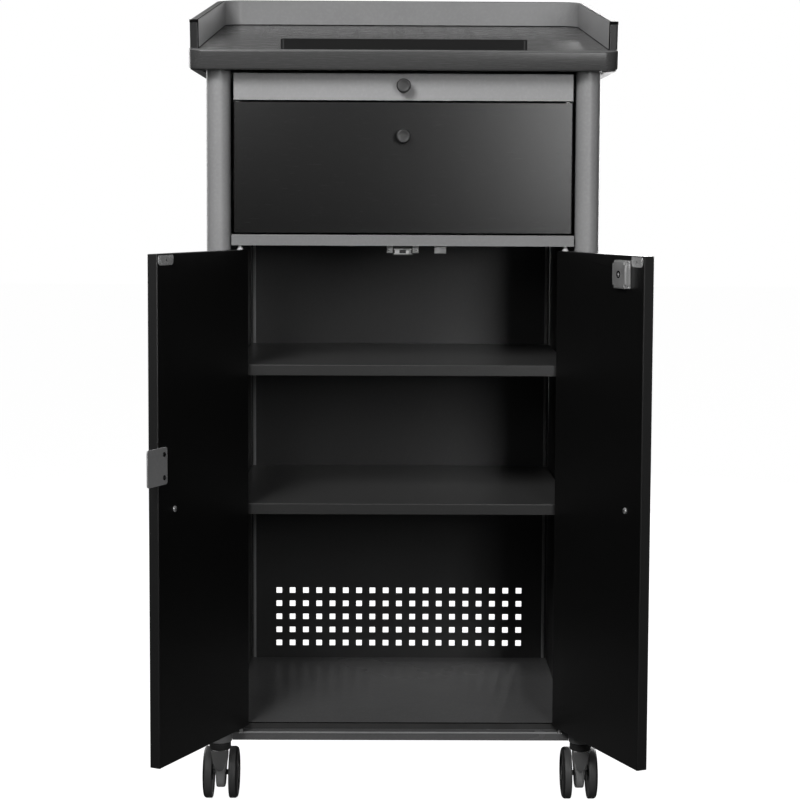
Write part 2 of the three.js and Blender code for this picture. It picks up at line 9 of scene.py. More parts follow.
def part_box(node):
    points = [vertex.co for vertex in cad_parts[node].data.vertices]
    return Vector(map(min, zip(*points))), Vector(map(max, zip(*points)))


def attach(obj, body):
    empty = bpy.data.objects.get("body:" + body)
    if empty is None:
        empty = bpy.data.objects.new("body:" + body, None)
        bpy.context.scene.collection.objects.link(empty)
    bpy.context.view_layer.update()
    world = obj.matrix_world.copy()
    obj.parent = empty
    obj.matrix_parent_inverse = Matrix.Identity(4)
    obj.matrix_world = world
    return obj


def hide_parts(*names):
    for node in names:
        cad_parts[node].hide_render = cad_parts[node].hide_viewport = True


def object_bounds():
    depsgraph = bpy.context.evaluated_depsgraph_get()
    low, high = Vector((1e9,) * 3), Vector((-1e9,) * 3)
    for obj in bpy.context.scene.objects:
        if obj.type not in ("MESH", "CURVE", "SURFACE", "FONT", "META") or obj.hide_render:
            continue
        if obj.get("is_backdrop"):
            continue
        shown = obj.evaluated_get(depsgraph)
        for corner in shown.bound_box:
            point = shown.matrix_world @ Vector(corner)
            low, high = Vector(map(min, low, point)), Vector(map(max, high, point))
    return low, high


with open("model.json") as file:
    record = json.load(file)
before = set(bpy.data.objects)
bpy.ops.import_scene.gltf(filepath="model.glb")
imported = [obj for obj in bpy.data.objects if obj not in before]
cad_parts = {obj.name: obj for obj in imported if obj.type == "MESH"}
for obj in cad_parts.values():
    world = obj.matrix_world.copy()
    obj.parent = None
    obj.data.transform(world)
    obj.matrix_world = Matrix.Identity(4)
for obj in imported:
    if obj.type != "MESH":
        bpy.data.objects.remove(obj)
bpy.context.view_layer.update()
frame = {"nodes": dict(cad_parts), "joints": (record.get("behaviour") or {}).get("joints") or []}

NODES = frame["nodes"]
JOINTS = {j["name"]: j for j in frame["joints"]}
Y, Z = Vector((0, 1, 0)), Vector((0, 0, 1))
SIDES = (("left", -1), ("right", 1))


def middle(node):
    low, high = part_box(node)
    return (low + high) / 2


# ------------------------------------------------------------------ frames of the moving pieces
POST_Y = middle("post_front_left").y
DOOR_ANGLE = {
    "left": -math.radians(JOINTS["door_left_hinge"]["range_deg"][1]),
    "right": -math.radians(JOINTS["door_right_hinge"]["range_deg"][0]),
}
DOOR_FRAME = {}
for side, s in SIDES:
    hinge = Vector(JOINTS[f"door_{side}_hinge"]["pos_m"])
    DOOR_FRAME[side] = Matrix.Translation((hinge.x, hinge.y, 0)) @ Matrix.Rotation(DOOR_ANGLE[side], 4, "Z")
LEAF_HALF = 0.00775  # half the thickness of a door leaf
SEAT_GAP = 0.0003    # clearance of a piece that sits on a board or a sheet

stop_axis = Vector(JOINTS["book_stop_slide"]["axis"])
TILT = math.atan2(-stop_axis.y, stop_axis.z)
TOP_FRONT = Vector((0, POST_Y - 0.045, 1.0755))
AXLE_Z = JOINTS["caster_front_left_wheel_left_spin"]["pos_m"][2]

# the worktop's own frame: x to the right, y up the slope, z out of the board
SLOPE = Matrix.Translation(TOP_FRONT) @ Matrix.Rotation(TILT, 4, "X")


# ------------------------------------------------------------------ materials
def new_material(name):
    mat = bpy.data.materials.new(name)
    mat.use_nodes = True
    tree = mat.node_tree
    shader = tree.nodes["Principled BSDF"]
    return mat, tree, shader


def object_coords(tree, scale=(1, 1, 1), angle=0.0):
    coords = tree.nodes.new("ShaderNodeTexCoord")
    mapping = tree.nodes.new("ShaderNodeMapping")
    mapping.inputs["Scale"].default_value = scale
    mapping.inputs["Rotation"].default_value = (0, 0, angle)
    tree.links.new(coords.outputs["Object"], mapping.inputs["Vector"])
    return mapping.outputs["Vector"]


def noise(tree, vector, scale, detail=2.0, roughness=0.5):
    node = tree.nodes.new("ShaderNodeTexNoise")
    node.inputs["Scale"].default_value = scale
    node.inputs["Detail"].default_value = detail
    node.inputs["Roughness"].default_value = roughness
    tree.links.new(vector, node.inputs["Vector"])
    return node.outputs["Fac"]


def ramp(tree, value, low, high, from_low=0.3, from_high=0.7):
    node = tree.nodes.new("ShaderNodeMapRange")
    node.inputs["From Min"].default_value = from_low
    node.inputs["From Max"].default_value = from_high
    node.inputs["To Min"].default_value = low
    node.inputs["To Max"].default_value = high
    tree.links.new(value, node.inputs["Value"])
    return node.outputs["Result"]


def mix_colour(tree, factor, a, b):
    node = tree.nodes.new("ShaderNodeMix")
    node.data_type = "RGBA"
    for socket, value in ((node.inputs["A"], a), (node.inputs["B"], b)):
        if isinstance(value, tuple):
            socket.default_value = (*value, 1)
        else:
            tree.links.new(value, socket)
    if isinstance(factor, float):
        node.inputs["Factor"].default_value = factor
    else:
        tree.links.new(factor, node.inputs["Factor"])
    return node.outputs["Result"]


def bump(tree, height, strength, distance, normal=None):
    node = tree.nodes.new("ShaderNodeBump")
    node.inputs["Strength"].default_value = strength
    node.inputs["Distance"].default_value = distance
    tree.links.new(height, node.inputs["Height"])
    if normal is not None:
        tree.links.new(normal, node.inputs["Normal"])
    return node.outputs["Normal"]


def grey(value, tint=0.0):
    return (value, value, value * (1 + tint))


def edge_wear_and_highlight(tree, radius=0.0012):
    """Brighter along rounded edges, from the angle between the bevelled and the true normal: partly wear,
    partly a painted highlight.
    """
    bevel = tree.nodes.new("ShaderNodeBevel")
    bevel.samples = 4
    bevel.inputs["Radius"].default_value = radius
    geometry = tree.nodes.new("ShaderNodeNewGeometry")
    dot = tree.nodes.new("ShaderNodeVectorMath")
    dot.operation = "DOT_PRODUCT"
    tree.links.new(bevel.outputs["Normal"], dot.inputs[0])
    tree.links.new(geometry.outputs["Normal"], dot.inputs[1])
    return ramp(tree, dot.outputs["Value"], 1.0, 0.0, 0.80, 0.995)


def powder_coat(name, value, roughness=0.42, spread=0.12, tint=0.01, edge=None):
    """Satin powder coat: orange peel, faint mottling and lighter edges, partly rubbed wear and partly a
    painted highlight.
    """
    mat, tree, shader = new_material(name)
    coords = object_coords(tree)
    broad = noise(tree, coords, 7.0, 3.0)
    fine = noise(tree, coords, 260.0, 2.0)
    colour = mix_colour(tree, ramp(tree, broad, 0.0, 1.0, 0.15, 0.85), grey(value * (1 - spread), tint),
                        grey(value * (1 + spread), tint))
    speck = mix_colour(tree, ramp(tree, fine, 0.0, 0.25, 0.45, 0.75), colour,
                       grey(value * 1.35, tint))
    worn_and_highlit = mix_colour(tree, edge_wear_and_highlight(tree), speck, grey(edge or min(value * 1.7, 0.8), tint))
    tree.links.new(worn_and_highlit, shader.inputs["Base Color"])
    gloss = ramp(tree, broad, roughness - 0.02, roughness + 0.03, 0.1, 0.9)
    tree.links.new(gloss, shader.inputs["Roughness"])
    shader.inputs["Metallic"].default_value = 0.0
    peel = noise(tree, coords, 900.0, 1.0)
    tree.links.new(bump(tree, peel, 0.12, 0.0004), shader.inputs["Normal"])
    return mat


def laminate(name, value, roughness, angle=0.0, grain_axis="X", spread=0.35, grain=0.16, band=None,
             face_normal=(0, 0, 1), specular=0.5):
    """Melamine-faced board: stretched wood-pore grain on the faces and a plainer edge band in a tone of its
    own, on some boards a painted highlight; rounded edges painted lighter, partly wear and partly a painted
    highlight.
    """
    mat, tree, shader = new_material(name)
    stretch = {"X": (9, 420, 420), "Y": (420, 9, 420), "Z": (420, 420, 9)}[grain_axis]
    rotated = object_coords(tree, (1, 1, 1), angle)
    scaled = tree.nodes.new("ShaderNodeVectorMath")
    scaled.operation = "MULTIPLY"
    scaled.inputs[1].default_value = stretch
    tree.links.new(rotated, scaled.inputs[0])
    pores = noise(tree, scaled.outputs["Vector"], 3.2, 3.0, 0.65)
    fine = noise(tree, scaled.outputs["Vector"], 9.0, 2.0, 0.6)
    broad = noise(tree, rotated, 3.0, 2.0)
    fibre = mix_colour(tree, ramp(tree, pores, 0.0, 1.0, 0.35, 0.7), grey(value * (1 - spread)),
                       grey(value * (1 + spread)))
    cloud = mix_colour(tree, ramp(tree, broad, 0.0, 0.35), fibre, grey(value * 1.25))
    colour = cloud
    if band is not None:
        coords = tree.nodes.new("ShaderNodeTexCoord")
        dot = tree.nodes.new("ShaderNodeVectorMath")
        dot.operation = "DOT_PRODUCT"
        dot.inputs[1].default_value = face_normal
        tree.links.new(coords.outputs["Normal"], dot.inputs[0])
        flat = tree.nodes.new("ShaderNodeMath")
        flat.operation = "ABSOLUTE"
        tree.links.new(dot.outputs["Value"], flat.inputs[0])
        is_face = ramp(tree, flat.outputs["Value"], 0.0, 1.0, 0.55, 0.75)
        edging = mix_colour(tree, ramp(tree, fine, 0.0, 1.0), grey(band * 0.88), grey(band * 1.12))
        colour = mix_colour(tree, is_face, edging, cloud)
    worn_and_highlit = mix_colour(tree, edge_wear_and_highlight(tree, 0.0009), colour, grey(max(value, 0.02) * 2.2))
    tree.links.new(worn_and_highlit, shader.inputs["Base Color"])
    gloss = ramp(tree, pores, roughness - 0.02, roughness + 0.04, 0.1, 0.9)
    tree.links.new(gloss, shader.inputs["Roughness"])
    shader.inputs["Specular IOR Level"].default_value = specular
    first = bump(tree, pores, grain, 0.00012)
    tree.links.new(bump(tree, fine, grain * 0.6, 0.00008, first), shader.inputs["Normal"])
    return mat


def plastic(name, value, roughness=0.45, spread=0.1, peel=700.0, strength=0.12, specular=0.5):
    """Moulded plastic with a fine spark-eroded texture and softened edges painted lighter, partly wear and
    partly a painted highlight.
    """
    mat, tree, shader = new_material(name)
    coords = object_coords(tree)
    broad = noise(tree, coords, 30.0, 2.0)
    colour = mix_colour(tree, ramp(tree, broad, 0.0, 1.0), grey(value * (1 - spread)),
                        grey(value * (1 + spread)))
    worn_and_highlit = mix_colour(tree, edge_wear_and_highlight(tree, 0.0006), colour, grey(value * 1.8))
    tree.links.new(worn_and_highlit, shader.inputs["Base Color"])
    tree.links.new(ramp(tree, broad, roughness - 0.05, roughness + 0.08), shader.inputs["Roughness"])
    tree.links.new(bump(tree, noise(tree, coords, peel, 1.0), strength, 0.0002), shader.inputs["Normal"])
    shader.inputs["Specular IOR Level"].default_value = specular
    return mat


def plated(name, value, roughness=0.28, brushed=(1, 1, 1), spread=0.12, metallic=1.0, edge=None,
           rim=0.0005):
    """Plated steel with fine brushing, a few dull patches and lighter edges, partly wear and partly a painted
    highlight.
    """
    mat, tree, shader = new_material(name)
    coords = object_coords(tree, brushed)
    lines = noise(tree, coords, 420.0, 2.0)
    patches = noise(tree, object_coords(tree), 60.0, 2.0)
    colour = mix_colour(tree, ramp(tree, patches, 0.0, 1.0), grey(value * (1 - spread)),
                        grey(value * (1 + spread)))
    worn_and_highlit = mix_colour(tree, edge_wear_and_highlight(tree, rim), colour, grey(edge or min(value * 1.3, 0.95)))
    tree.links.new(worn_and_highlit, shader.inputs["Base Color"])
    shader.inputs["Metallic"].default_value = metallic
    tree.links.new(ramp(tree, patches, roughness - 0.06, roughness + 0.14), shader.inputs["Roughness"])
    tree.links.new(bump(tree, lines, 0.08, 0.0001), shader.inputs["Normal"])
    return mat


MAT = {
    "post": powder_coat("post_coat", 0.33, 0.40),
    "sheet": powder_coat("sheet_coat", 0.24, 0.42),
    "tray": powder_coat("tray_coat", 0.36, 0.46),
    "inner": powder_coat("inner_coat", 0.036, 0.29),
    "pan": powder_coat("pan_coat", 0.17, 0.26),
    "gallery": powder_coat("gallery_coat", 0.34, 0.32),
    "trim": plastic("gallery_trim", 0.022, 0.40),
    # end plate: edge=0.32 paints a highlight on the rounded outer corner
    "end_plate": powder_coat("end_plate_coat", 0.035, 0.28, edge=0.32),
    "plate": powder_coat("overlap_plate_coat", 0.34, 0.40),
    # pan wall strip: darker paint as painted shade for the front wall in shadow
    "pan_shade": plastic("pan_wall_painted_shade", 0.050, 0.50),
    # ledge bead: lighter paint as a painted highlight along the ledge's front edge
    "hem_highlight": powder_coat("pan_hem_painted_highlight", 0.40, 0.34),
    # wedge frame: edge=0.40 paints a reflection along its rounded edges, for the flange's lit lower edge
    "frame": powder_coat("frame_coat", 0.07, 0.36, edge=0.40),
    # worktop: the top face is painted lighter than the apron band (0.205 against 0.075), a painted sheen for
    # the grazing reflection on the top
    "top": laminate("worktop_laminate", 0.205, 0.26, grain_axis="X", spread=0.06, grain=0.03,
                    band=0.075, face_normal=(0, -math.sin(TILT), math.cos(TILT))),
    # worktop underside: near-black painted shade
    "underside_shade": plastic("worktop_underside_shade", 0.008, 0.60),
    # drawer front: the edge band (0.05 against the faces' 0.004) paints a light highlight outline round the
    # front
    "drawer_board": laminate("drawer_laminate", 0.0040, 0.25, grain_axis="X", grain=0.07, band=0.05,
                             face_normal=(0, 1, 0)),
    "shelf": laminate("shelf_laminate", 0.085, 0.28, grain_axis="X", spread=0.2, band=0.045),
    "side_board": laminate("side_laminate", 0.020, 0.36, grain_axis="Z", band=0.03, face_normal=(1, 0, 0)),
    "knob": plastic("knob_black", 0.030, 0.38),
    "stop": plastic("book_stop_black", 0.007, 0.50, specular=0.22),
    "stop_rib": plastic("book_stop_rib", 0.030, 0.42),
    "caster": plastic("caster_plastic", 0.055, 0.45),
    "caster_light": plastic("caster_hood", 0.62, 0.42),
    "caster_shield": plastic("caster_shield", 0.24, 0.42),
    "wheel": plastic("wheel_tread", 0.115, 0.50, strength=0.2),
    "hub": plastic("wheel_hub", 0.030, 0.38),
    # nickel: edge=0.95 paints bright highlights along the rounded edges
    "nickel": plated("nickel_plate", 0.74, 0.22, metallic=0.45, edge=0.95),
    "zinc": plated("zinc_plate", 0.48, 0.34, brushed=(4, 0.08, 4)),
    # lock: edge=0.95 paints bright highlights along the rounded edges
    "lock": plated("lock_plate", 0.40, 0.36, metallic=0.40, edge=0.95, rim=0.0009),
    "screw_black": plastic("screw_black", 0.020, 0.22),
    "nylon": plastic("white_nylon", 0.62, 0.45),
    # near-black used as painted shade in recesses, slots and gaps, and on the end plates' top strips
    "dark": plastic("painted_recess_shade", 0.004, 0.6, specular=0.1),
}
for side, s in SIDES:
    angle = DOOR_ANGLE[side]
    # door leaves: the edge band (0.020 against the faces' 0.0050) paints a highlight along the leaf edges
    MAT[f"door_{side}"] = laminate(
        f"door_laminate_{side}", 0.0050, 0.36, angle=-angle, grain_axis="Z", spread=0.4, grain=0.10,
        band=0.020, face_normal=(-math.sin(angle), math.cos(angle), 0), specular=0.85)


# ------------------------------------------------------------------ mesh helpers
def finish_mesh(name, bm, mats, matrix=None, smooth=35.0, bevel=0.0):
    bmesh.ops.recalc_face_normals(bm, faces=bm.faces)
    mesh = bpy.data.meshes.new(name)
    bm.to_mesh(mesh)
    bm.free()
    for mat in mats:
        mesh.materials.append(mat)
    mesh.shade_smooth()
    mesh.set_sharp_from_angle(angle=math.radians(smooth))
    obj = bpy.data.objects.new(name, mesh)
    bpy.context.scene.collection.objects.link(obj)
    if matrix is not None:
        obj.matrix_world = matrix
    if bevel:
        soften(obj, bevel)
    return obj


def soften(obj, width, segments=2):
    """Rounds the edges that turn by more than 30 degrees."""
    mod = obj.modifiers.new("soft_edges", "BEVEL")
    mod.width = width
    mod.segments = segments
    mod.limit_method = "ANGLE"
    mod.angle_limit = math.radians(30)
    mod.harden_normals = False


def along(point, axis):
    """Frame at point whose z axis runs along axis."""
    return Matrix.Translation(point) @ Vector(axis).to_track_quat("Z", "Y").to_matrix().to_4x4()


def lathe_into(bm, profile, segments, mat=0, matrix=None):
    """Turns (radius, height, material) points about the local z axis into bm."""
    matrix = matrix or Matrix.Identity(4)
    rings = []
    for point in profile:
        radius, height = point[0], point[1]
        if radius < 1e-7:
            rings.append([bm.verts.new(matrix @ Vector((0, 0, height)))])
            continue
        rings.append([
            bm.verts.new(matrix @ Vector((radius * math.cos(t), radius * math.sin(t), height)))
            for t in (2 * math.pi * k / segments for k in range(segments))
        ])
    for i, (low, high) in enumerate(zip(rings, rings[1:])):
        index = profile[i][2] if len(profile[i]) > 2 else mat
        for k in range(segments):
            n = (k + 1) % segments
            if len(low) == 1 and len(high) == 1:
                continue
            if len(low) == 1:
                face = bm.faces.new((low[0], high[k], high[n]))
            elif len(high) == 1:
                face = bm.faces.new((low[k], low[n], high[0]))
            else:
                face = bm.faces.new((low[k], low[n], high[n], high[k]))
            face.material_index = index


def box_into(bm, low, high, mat=0, matrix=None):
    matrix = matrix or Matrix.Identity(4)
    corners = [matrix @ Vector((x, y, z)) for x in (low[0], high[0]) for y in (low[1], high[1])
               for z in (low[2], high[2])]
    v = [bm.verts.new(c) for c in corners]
    for quad in ((0, 1, 3, 2), (4, 6, 7, 5), (0, 4, 5, 1), (2, 3, 7, 6), (0, 2, 6, 4), (1, 5, 7, 3)):
        bm.faces.new([v[i] for i in quad]).material_index = mat


def prism_into(bm, outline, z0, z1, mat=0, matrix=None, inset=0.0):
    """Upright prism over a closed outline of (x, y) points, with an optional chamfer on both ends."""
    matrix = matrix or Matrix.Identity(4)
    centre = Vector((sum(p[0] for p in outline), sum(p[1] for p in outline))) / len(outline)

    def ring(z, shrink):
        points = []
        for p in outline:
            v = Vector(p)
            out = v - centre
            v = v - out.normalized() * shrink
            points.append(bm.verts.new(matrix @ Vector((v.x, v.y, z))))
        return points

    levels = [(z0, 0.0), (z1, 0.0)]
    if inset:
        levels = [(z0, inset), (z0 + inset, 0.0), (z1 - inset, 0.0), (z1, inset)]
    rings = [ring(z, shrink) for z, shrink in levels]
    n = len(outline)
    for low, high in zip(rings, rings[1:]):
        for k in range(n):
            m = (k + 1) % n
            bm.faces.new((low[k], low[m], high[m], high[k])).material_index = mat
    bm.faces.new(list(reversed(rings[0]))).material_index = mat
    bm.faces.new(rings[-1]).material_index = mat


def arc(cx, cy, radius, start, end, steps):
    return [(cx + radius * math.cos(math.radians(start + (end - start) * k / steps)),
             cy + radius * math.sin(math.radians(start + (end - start) * k / steps)))
            for k in range(steps + 1)]


def rounded_rect(x0, x1, y0, y1, r, steps=6):
    return (arc(x0 + r, y0 + r, r, 180, 270, steps) + arc(x1 - r, y0 + r, r, 270, 360, steps)
            + arc(x1 - r, y1 - r, r, 0, 90, steps) + arc(x0 + r, y1 - r, r, 90, 180, steps))


ALONG_X = Matrix(((0, 0, 1, 0), (1, 0, 0, 0), (0, 1, 0, 0), (0, 0, 0, 1)))  # a prism's z axis laid along x


def ride(obj, body, slot=None, *nodes):
    """Fixes obj to a body and hides the CAD nodes it stands for; the slot name is not used."""
    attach(obj, body)
    if nodes:
        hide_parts(*nodes)
    return obj


def boolean_cut(obj, low, high, matrix):
    """Cuts a box out of obj's mesh for good."""
    bm = bmesh.new()
    box_into(bm, low, high, 0, matrix)
    cutter = finish_mesh("cutter", bm, [])
    mod = obj.modifiers.new("cut", "BOOLEAN")
    mod.object = cutter
    mod.operation = "DIFFERENCE"
    mod.solver = "EXACT"
    bpy.context.view_layer.update()
    graph = bpy.context.evaluated_depsgraph_get()
    mesh = bpy.data.meshes.new_from_object(obj.evaluated_get(graph))
    obj.modifiers.clear()
    obj.data = mesh
    bpy.data.objects.remove(cutter)


def dress(node, mat, width=0.0006, segments=2):
    """Gives a carried-over CAD node its material and softened edges."""
    obj = NODES[node]
    obj.data.materials.clear()
    obj.data.materials.append(MAT[mat])
    mod = obj.modifiers.new("weld", "WELD")
    mod.merge_threshold = 0.00001
    soften(obj, width, segments)


def screw(name, body, matrix, radius=0.0036, height=0.0016, mat="nickel"):
    """Pan head standing along the frame's z axis from its origin, with a near-black cross just proud of its
    top: painted shade for the cross recess.
    """
    bm = bmesh.new()
    profile = [(0, 0, 0), (radius, 0, 0), (radius, height * 0.35, 0), (radius * 0.88, height * 0.72, 0),
               (radius * 0.6, height * 0.94, 0), (radius * 0.32, height, 0), (0, height, 0)]
    lathe_into(bm, profile, 28)
    arm, half = radius * 0.55, radius * 0.11
    top = height * 1.012
    box_into(bm, (-arm, -half, height * 0.6), (arm, half, top), 1)
    box_into(bm, (-half, -arm, height * 0.6), (half, arm, top), 1)
    return ride(finish_mesh(name, bm, [MAT[mat], MAT["dark"]], matrix), body, "bright_steel")


# ------------------------------------------------------------------ posts
POST_RADIUS = 0.017

for side, s in SIDES:
    for end in ("front", "rear"):
        node = f"post_{end}_{side}"
        low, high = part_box(node)
        c = (low + high) / 2
        r = POST_RADIUS
        top, bottom = high.z, low.z
        bm = bmesh.new()
        lathe_into(bm, [
            (0, bottom), (r - 0.003, bottom), (r - 0.0022, bottom + 0.0006),
            (r - 0.0008, bottom + 0.0006),
            (r, bottom + 0.0016), (r, bottom + 0.30), (r, bottom + 0.60), (r, top - 0.0012),
            (r - 0.0012, top), (0, top),
        ], 72)
        obj = finish_mesh(f"round_{node}", bm, [MAT["post"]], Matrix.Translation((c.x, c.y, 0)))
        ride(obj, "cabinet", "post_paint", node)

# ------------------------------------------------------------------ carried-over sheet metal and boards
dress("back_panel", "inner", 0.0004, 1)
dress("bottom_pan", "pan", 0.0005)
dress("divider_panel", "sheet", 0.0007)
dress("top_wedge_frame", "frame", 0.0005)
dress("keyboard_tray", "tray", 0.0007)
dress("drawer_box", "sheet", 0.0005)
dress("drawer_front", "drawer_board", 0.0010, 3)
for level in ("upper", "lower"):
    dress(f"shelf_{level}", "shelf", 0.0009, 3)
for side, s in SIDES:
    dress(f"side_panel_{side}", "side_board", 0.0005)
    dress(f"door_{side}", f"door_{side}", 0.0006)
    for device in ("drawer", "tray"):
        for member in ("outer", "middle", "inner"):
            dress(f"{device}_slide_{member}_{side}", "zinc", 0.0003)
dress("lock_bolt", "nickel", 0.0006)

# ------------------------------------------------------------------ worktop with rounded edges
TOP_X, TOP_L, TOP_T = 0.2992, 0.4925, 0.028  # half width, length up the slope, thickness
GALLERY_HALF = 0.2964  # half the width over the gallery's outer faces


def top_outline(inset=0.0):
    x, y0, y1 = TOP_X - inset, inset, TOP_L - inset
    rf, rb = 0.022 - inset, 0.042  # radius of the front and of the back corners
    return (arc(-x + rf, y0 + rf, rf, 180, 270, 20) + arc(x - rf, y0 + rf, rf, 270, 360, 20)
            + arc(x - rb, y1 - rb, rb, 0, 90, 24) + arc(-x + rb, y1 - rb, rb, 90, 180, 24))


def worktop():
    bm = bmesh.new()
    edge, steps = 0.0032, 5
    levels = []
    for k in range(steps + 1):
        t = math.radians(90 * k / steps)
        levels.append((edge * (1 - math.sin(t)), -TOP_T + edge * (1 - math.cos(t))))
    for k in range(steps + 1):
        t = math.radians(90 * k / steps)
        levels.append((edge * (1 - math.cos(t)), -edge * (1 - math.sin(t))))
    rings = [[bm.verts.new((x, y, z)) for x, y in top_outline(inset)] for inset, z in levels]
    n = len(rings[0])
    for low, high in zip(rings, rings[1:]):
        for k in range(n):
            m = (k + 1) % n
            bm.faces.new((low[k], low[m], high[m], high[k]))
    # underside painted near-black: painted shade for the board's underside in shadow
    bm.faces.new(list(reversed(rings[0]))).material_index = 1
    bm.faces.new(rings[-1])
    obj = finish_mesh("worktop_board", bm, [MAT["top"], MAT["underside_shade"]], SLOPE, smooth=30)
    boolean_cut(obj, (-0.1711, 0.0054, -0.03), (0.1711, 0.0106, 0.002), Matrix.Identity(4))
    obj.data.set_sharp_from_angle(angle=math.radians(30))
    return obj


ride(worktop(), "cabinet", "top_laminate", "worktop")


# ------------------------------------------------------------------ gallery rail
def gallery():
    """U-shaped wall, swept from its section along the sides and the back of the worktop."""
    half, front, back, corner = GALLERY_HALF, 0.0130, TOP_L - 0.0012, 0.042
    wall, height, base = 0.0122, 0.039, 0.0003
    path = [((-half, front), (-1, 0))]
    for k in range(33):
        t = math.radians(180 - 90 * k / 32)
        path.append(((-half + corner + corner * math.cos(t), back - corner + corner * math.sin(t)),
                     (math.cos(t), math.sin(t))))
    for k in range(33):
        t = math.radians(90 - 90 * k / 32)
        path.append(((half - corner + corner * math.cos(t), back - corner + corner * math.sin(t)),
                     (math.cos(t), math.sin(t))))
    path.append(((half, front), (1, 0)))
    r = 0.0016
    section = [(0, base), (0, base + height - r)]
    section += [(r * (1 - math.cos(t)), base + height - r * (1 - math.sin(t)))
                for t in (math.radians(a) for a in (30, 60, 90))]
    top = base + height
    groove = [(wall - 0.0027, top), (wall - 0.0025, top - 0.0012), (wall - 0.0013, top - 0.0012),
              (wall - 0.0011, top - 0.0002), (wall - 0.0006, top - 0.0003), (wall, top - 0.0010)]
    groove_at = len(section)
    section += groove
    foot_at = len(section)
    section += [(wall, base + 0.0013), (wall, base)]
    bm = bmesh.new()
    rings = []
    for (x, y), (nx, ny) in path:
        rings.append([bm.verts.new((x - nx * d, y - ny * d, z)) for d, z in section])
    m = len(section)
    for a, b in zip(rings, rings[1:]):
        for k in range(m):
            n = (k + 1) % m
            face = bm.faces.new((a[k], a[n], b[n], b[k]))
            # the groove's faces and the lowest strip of the inner face take the near-black: painted shade in
            # the groove and a painted shadow line along the wall's base
            face.material_index = 1 if groove_at - 1 < k < groove_at + 3 or k == foot_at else 0
    bm.faces.new(rings[0]).material_index = 2
    bm.faces.new(list(reversed(rings[-1]))).material_index = 2
    return finish_mesh("gallery_wall", bm, [MAT["gallery"], MAT["dark"], MAT["trim"]], SLOPE, smooth=40)


ride(gallery(), "cabinet", "sheet_paint", "gallery_rail")

# end plates over the rail's two front ends: rounded outer corner painted with a highlight, a near-black box
# inside as a painted shadow in the gap, and a near-black strip on top
for side, s in SIDES:
    outer, inner = s * GALLERY_HALF, s * (GALLERY_HALF - 0.0122)
    r = 0.0030
    if s < 0:
        outline = (arc(outer + r, 0.0100 + r, r, 180, 270, 8)
                   + [(inner - 0.0014, 0.0100), (inner - 0.0014, 0.0131), (outer, 0.0131)])
    else:
        outline = (arc(outer - r, 0.0100 + r, r, 0, -90, 8)
                   + [(inner + 0.0014, 0.0100), (inner + 0.0014, 0.0131), (outer, 0.0131)])
    bm = bmesh.new()
    prism_into(bm, outline, 0.0004, 0.0356)
    x0, x1 = sorted((inner - s * 0.0001, inner + s * 0.0015))
    box_into(bm, (x0, 0.0112, 0.0004), (x1, 0.0131, 0.0356), 1)
    x0, x1 = sorted((outer, inner))
    prism_into(bm, rounded_rect(x0, x1, 0.0094, 0.0132, 0.0010, 4), 0.0356, 0.0398, 1)
    ride(finish_mesh(f"gallery_end_cap_{side}", bm, [MAT["end_plate"], MAT["dark"]], SLOPE, bevel=0.0003),
         "cabinet", "black_plastic")

# ------------------------------------------------------------------ book stop
STOP_FRAME = Matrix.Translation((0, 0.008, 0)) @ Matrix.Rotation(math.radians(90), 4, "X")
bm = bmesh.new()
stop_outline = rounded_rect(-0.1705, 0.1705, -0.0119, 0.0145, 0.0016, 5)
prism_into(bm, stop_outline, -0.002, 0.002, 0, STOP_FRAME, inset=0.0005)
ride(finish_mesh("book_stop_bar", bm, [MAT["stop"]], SLOPE), "book_stop", "black_plastic", "book_stop")
for side, s in SIDES:
    bm = bmesh.new()
    x = s * 0.1668
    prism_into(bm, rounded_rect(x - 0.0009, x + 0.0009, -0.0110, 0.0136, 0.0006, 3), -0.0023, -0.0018, 0,
               STOP_FRAME @ Matrix.Scale(-1, 4, Z))
    ride(finish_mesh(f"book_stop_rib_{side}", bm, [MAT["stop_rib"]], SLOPE), "book_stop", "black_plastic")


# ------------------------------------------------------------------ knobs
def knob(name, body, matrix, node):
    """Turned knob on a rosette; the frame's z axis points out of the face."""
    bm = bmesh.new()
    r, length = 0.010, 0.0188
    lathe_into(bm, [
        (0, 0.0001), (0.0066, 0.0001), (0.0068, 0.0006), (0.0066, 0.0014), (0.0052, 0.0021),
        (0.0048, 0.0032), (0.0048, 0.0052), (0.0056, 0.0066), (0.0076, 0.0078), (0.0093, 0.0094),
        (r, 0.0112), (r, length - 0.0020),
        (r - 0.0004, length - 0.0010), (r - 0.0012, length - 0.0003), (r - 0.0022, length),
        (r - 0.0030, length - 0.0003), (0.0030, length - 0.0004), (0, length - 0.0004),
    ], 56)
    return ride(finish_mesh(name, bm, [MAT["knob"]], matrix, smooth=50), body, "black_plastic", node)


for device, body in (("drawer", "drawer"), ("tray", "keyboard_tray")):
    low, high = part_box(f"{device}_knob")
    base = Vector(((low.x + high.x) / 2, high.y, (low.z + high.z) / 2))
    knob(f"{device}_turned_knob", body, along(base, -Y), f"{device}_knob")

KNOB_REACH, KNOB_Z = 0.188, 0.456  # from the hinge along the leaf, and above the floor
for side, s in SIDES:
    base = DOOR_FRAME[side] @ Vector((-s * KNOB_REACH, -LEAF_HALF - SEAT_GAP, KNOB_Z))
    out = DOOR_FRAME[side].to_3x3() @ -Y
    knob(f"door_{side}_turned_knob", f"door_{side}", along(base, out), f"door_{side}_knob")
    back = DOOR_FRAME[side] @ Vector((-s * KNOB_REACH, LEAF_HALF - 0.0002, KNOB_Z))
    screw(f"door_{side}_knob_screw", f"door_{side}", along(back, -out), 0.0042, 0.0022)


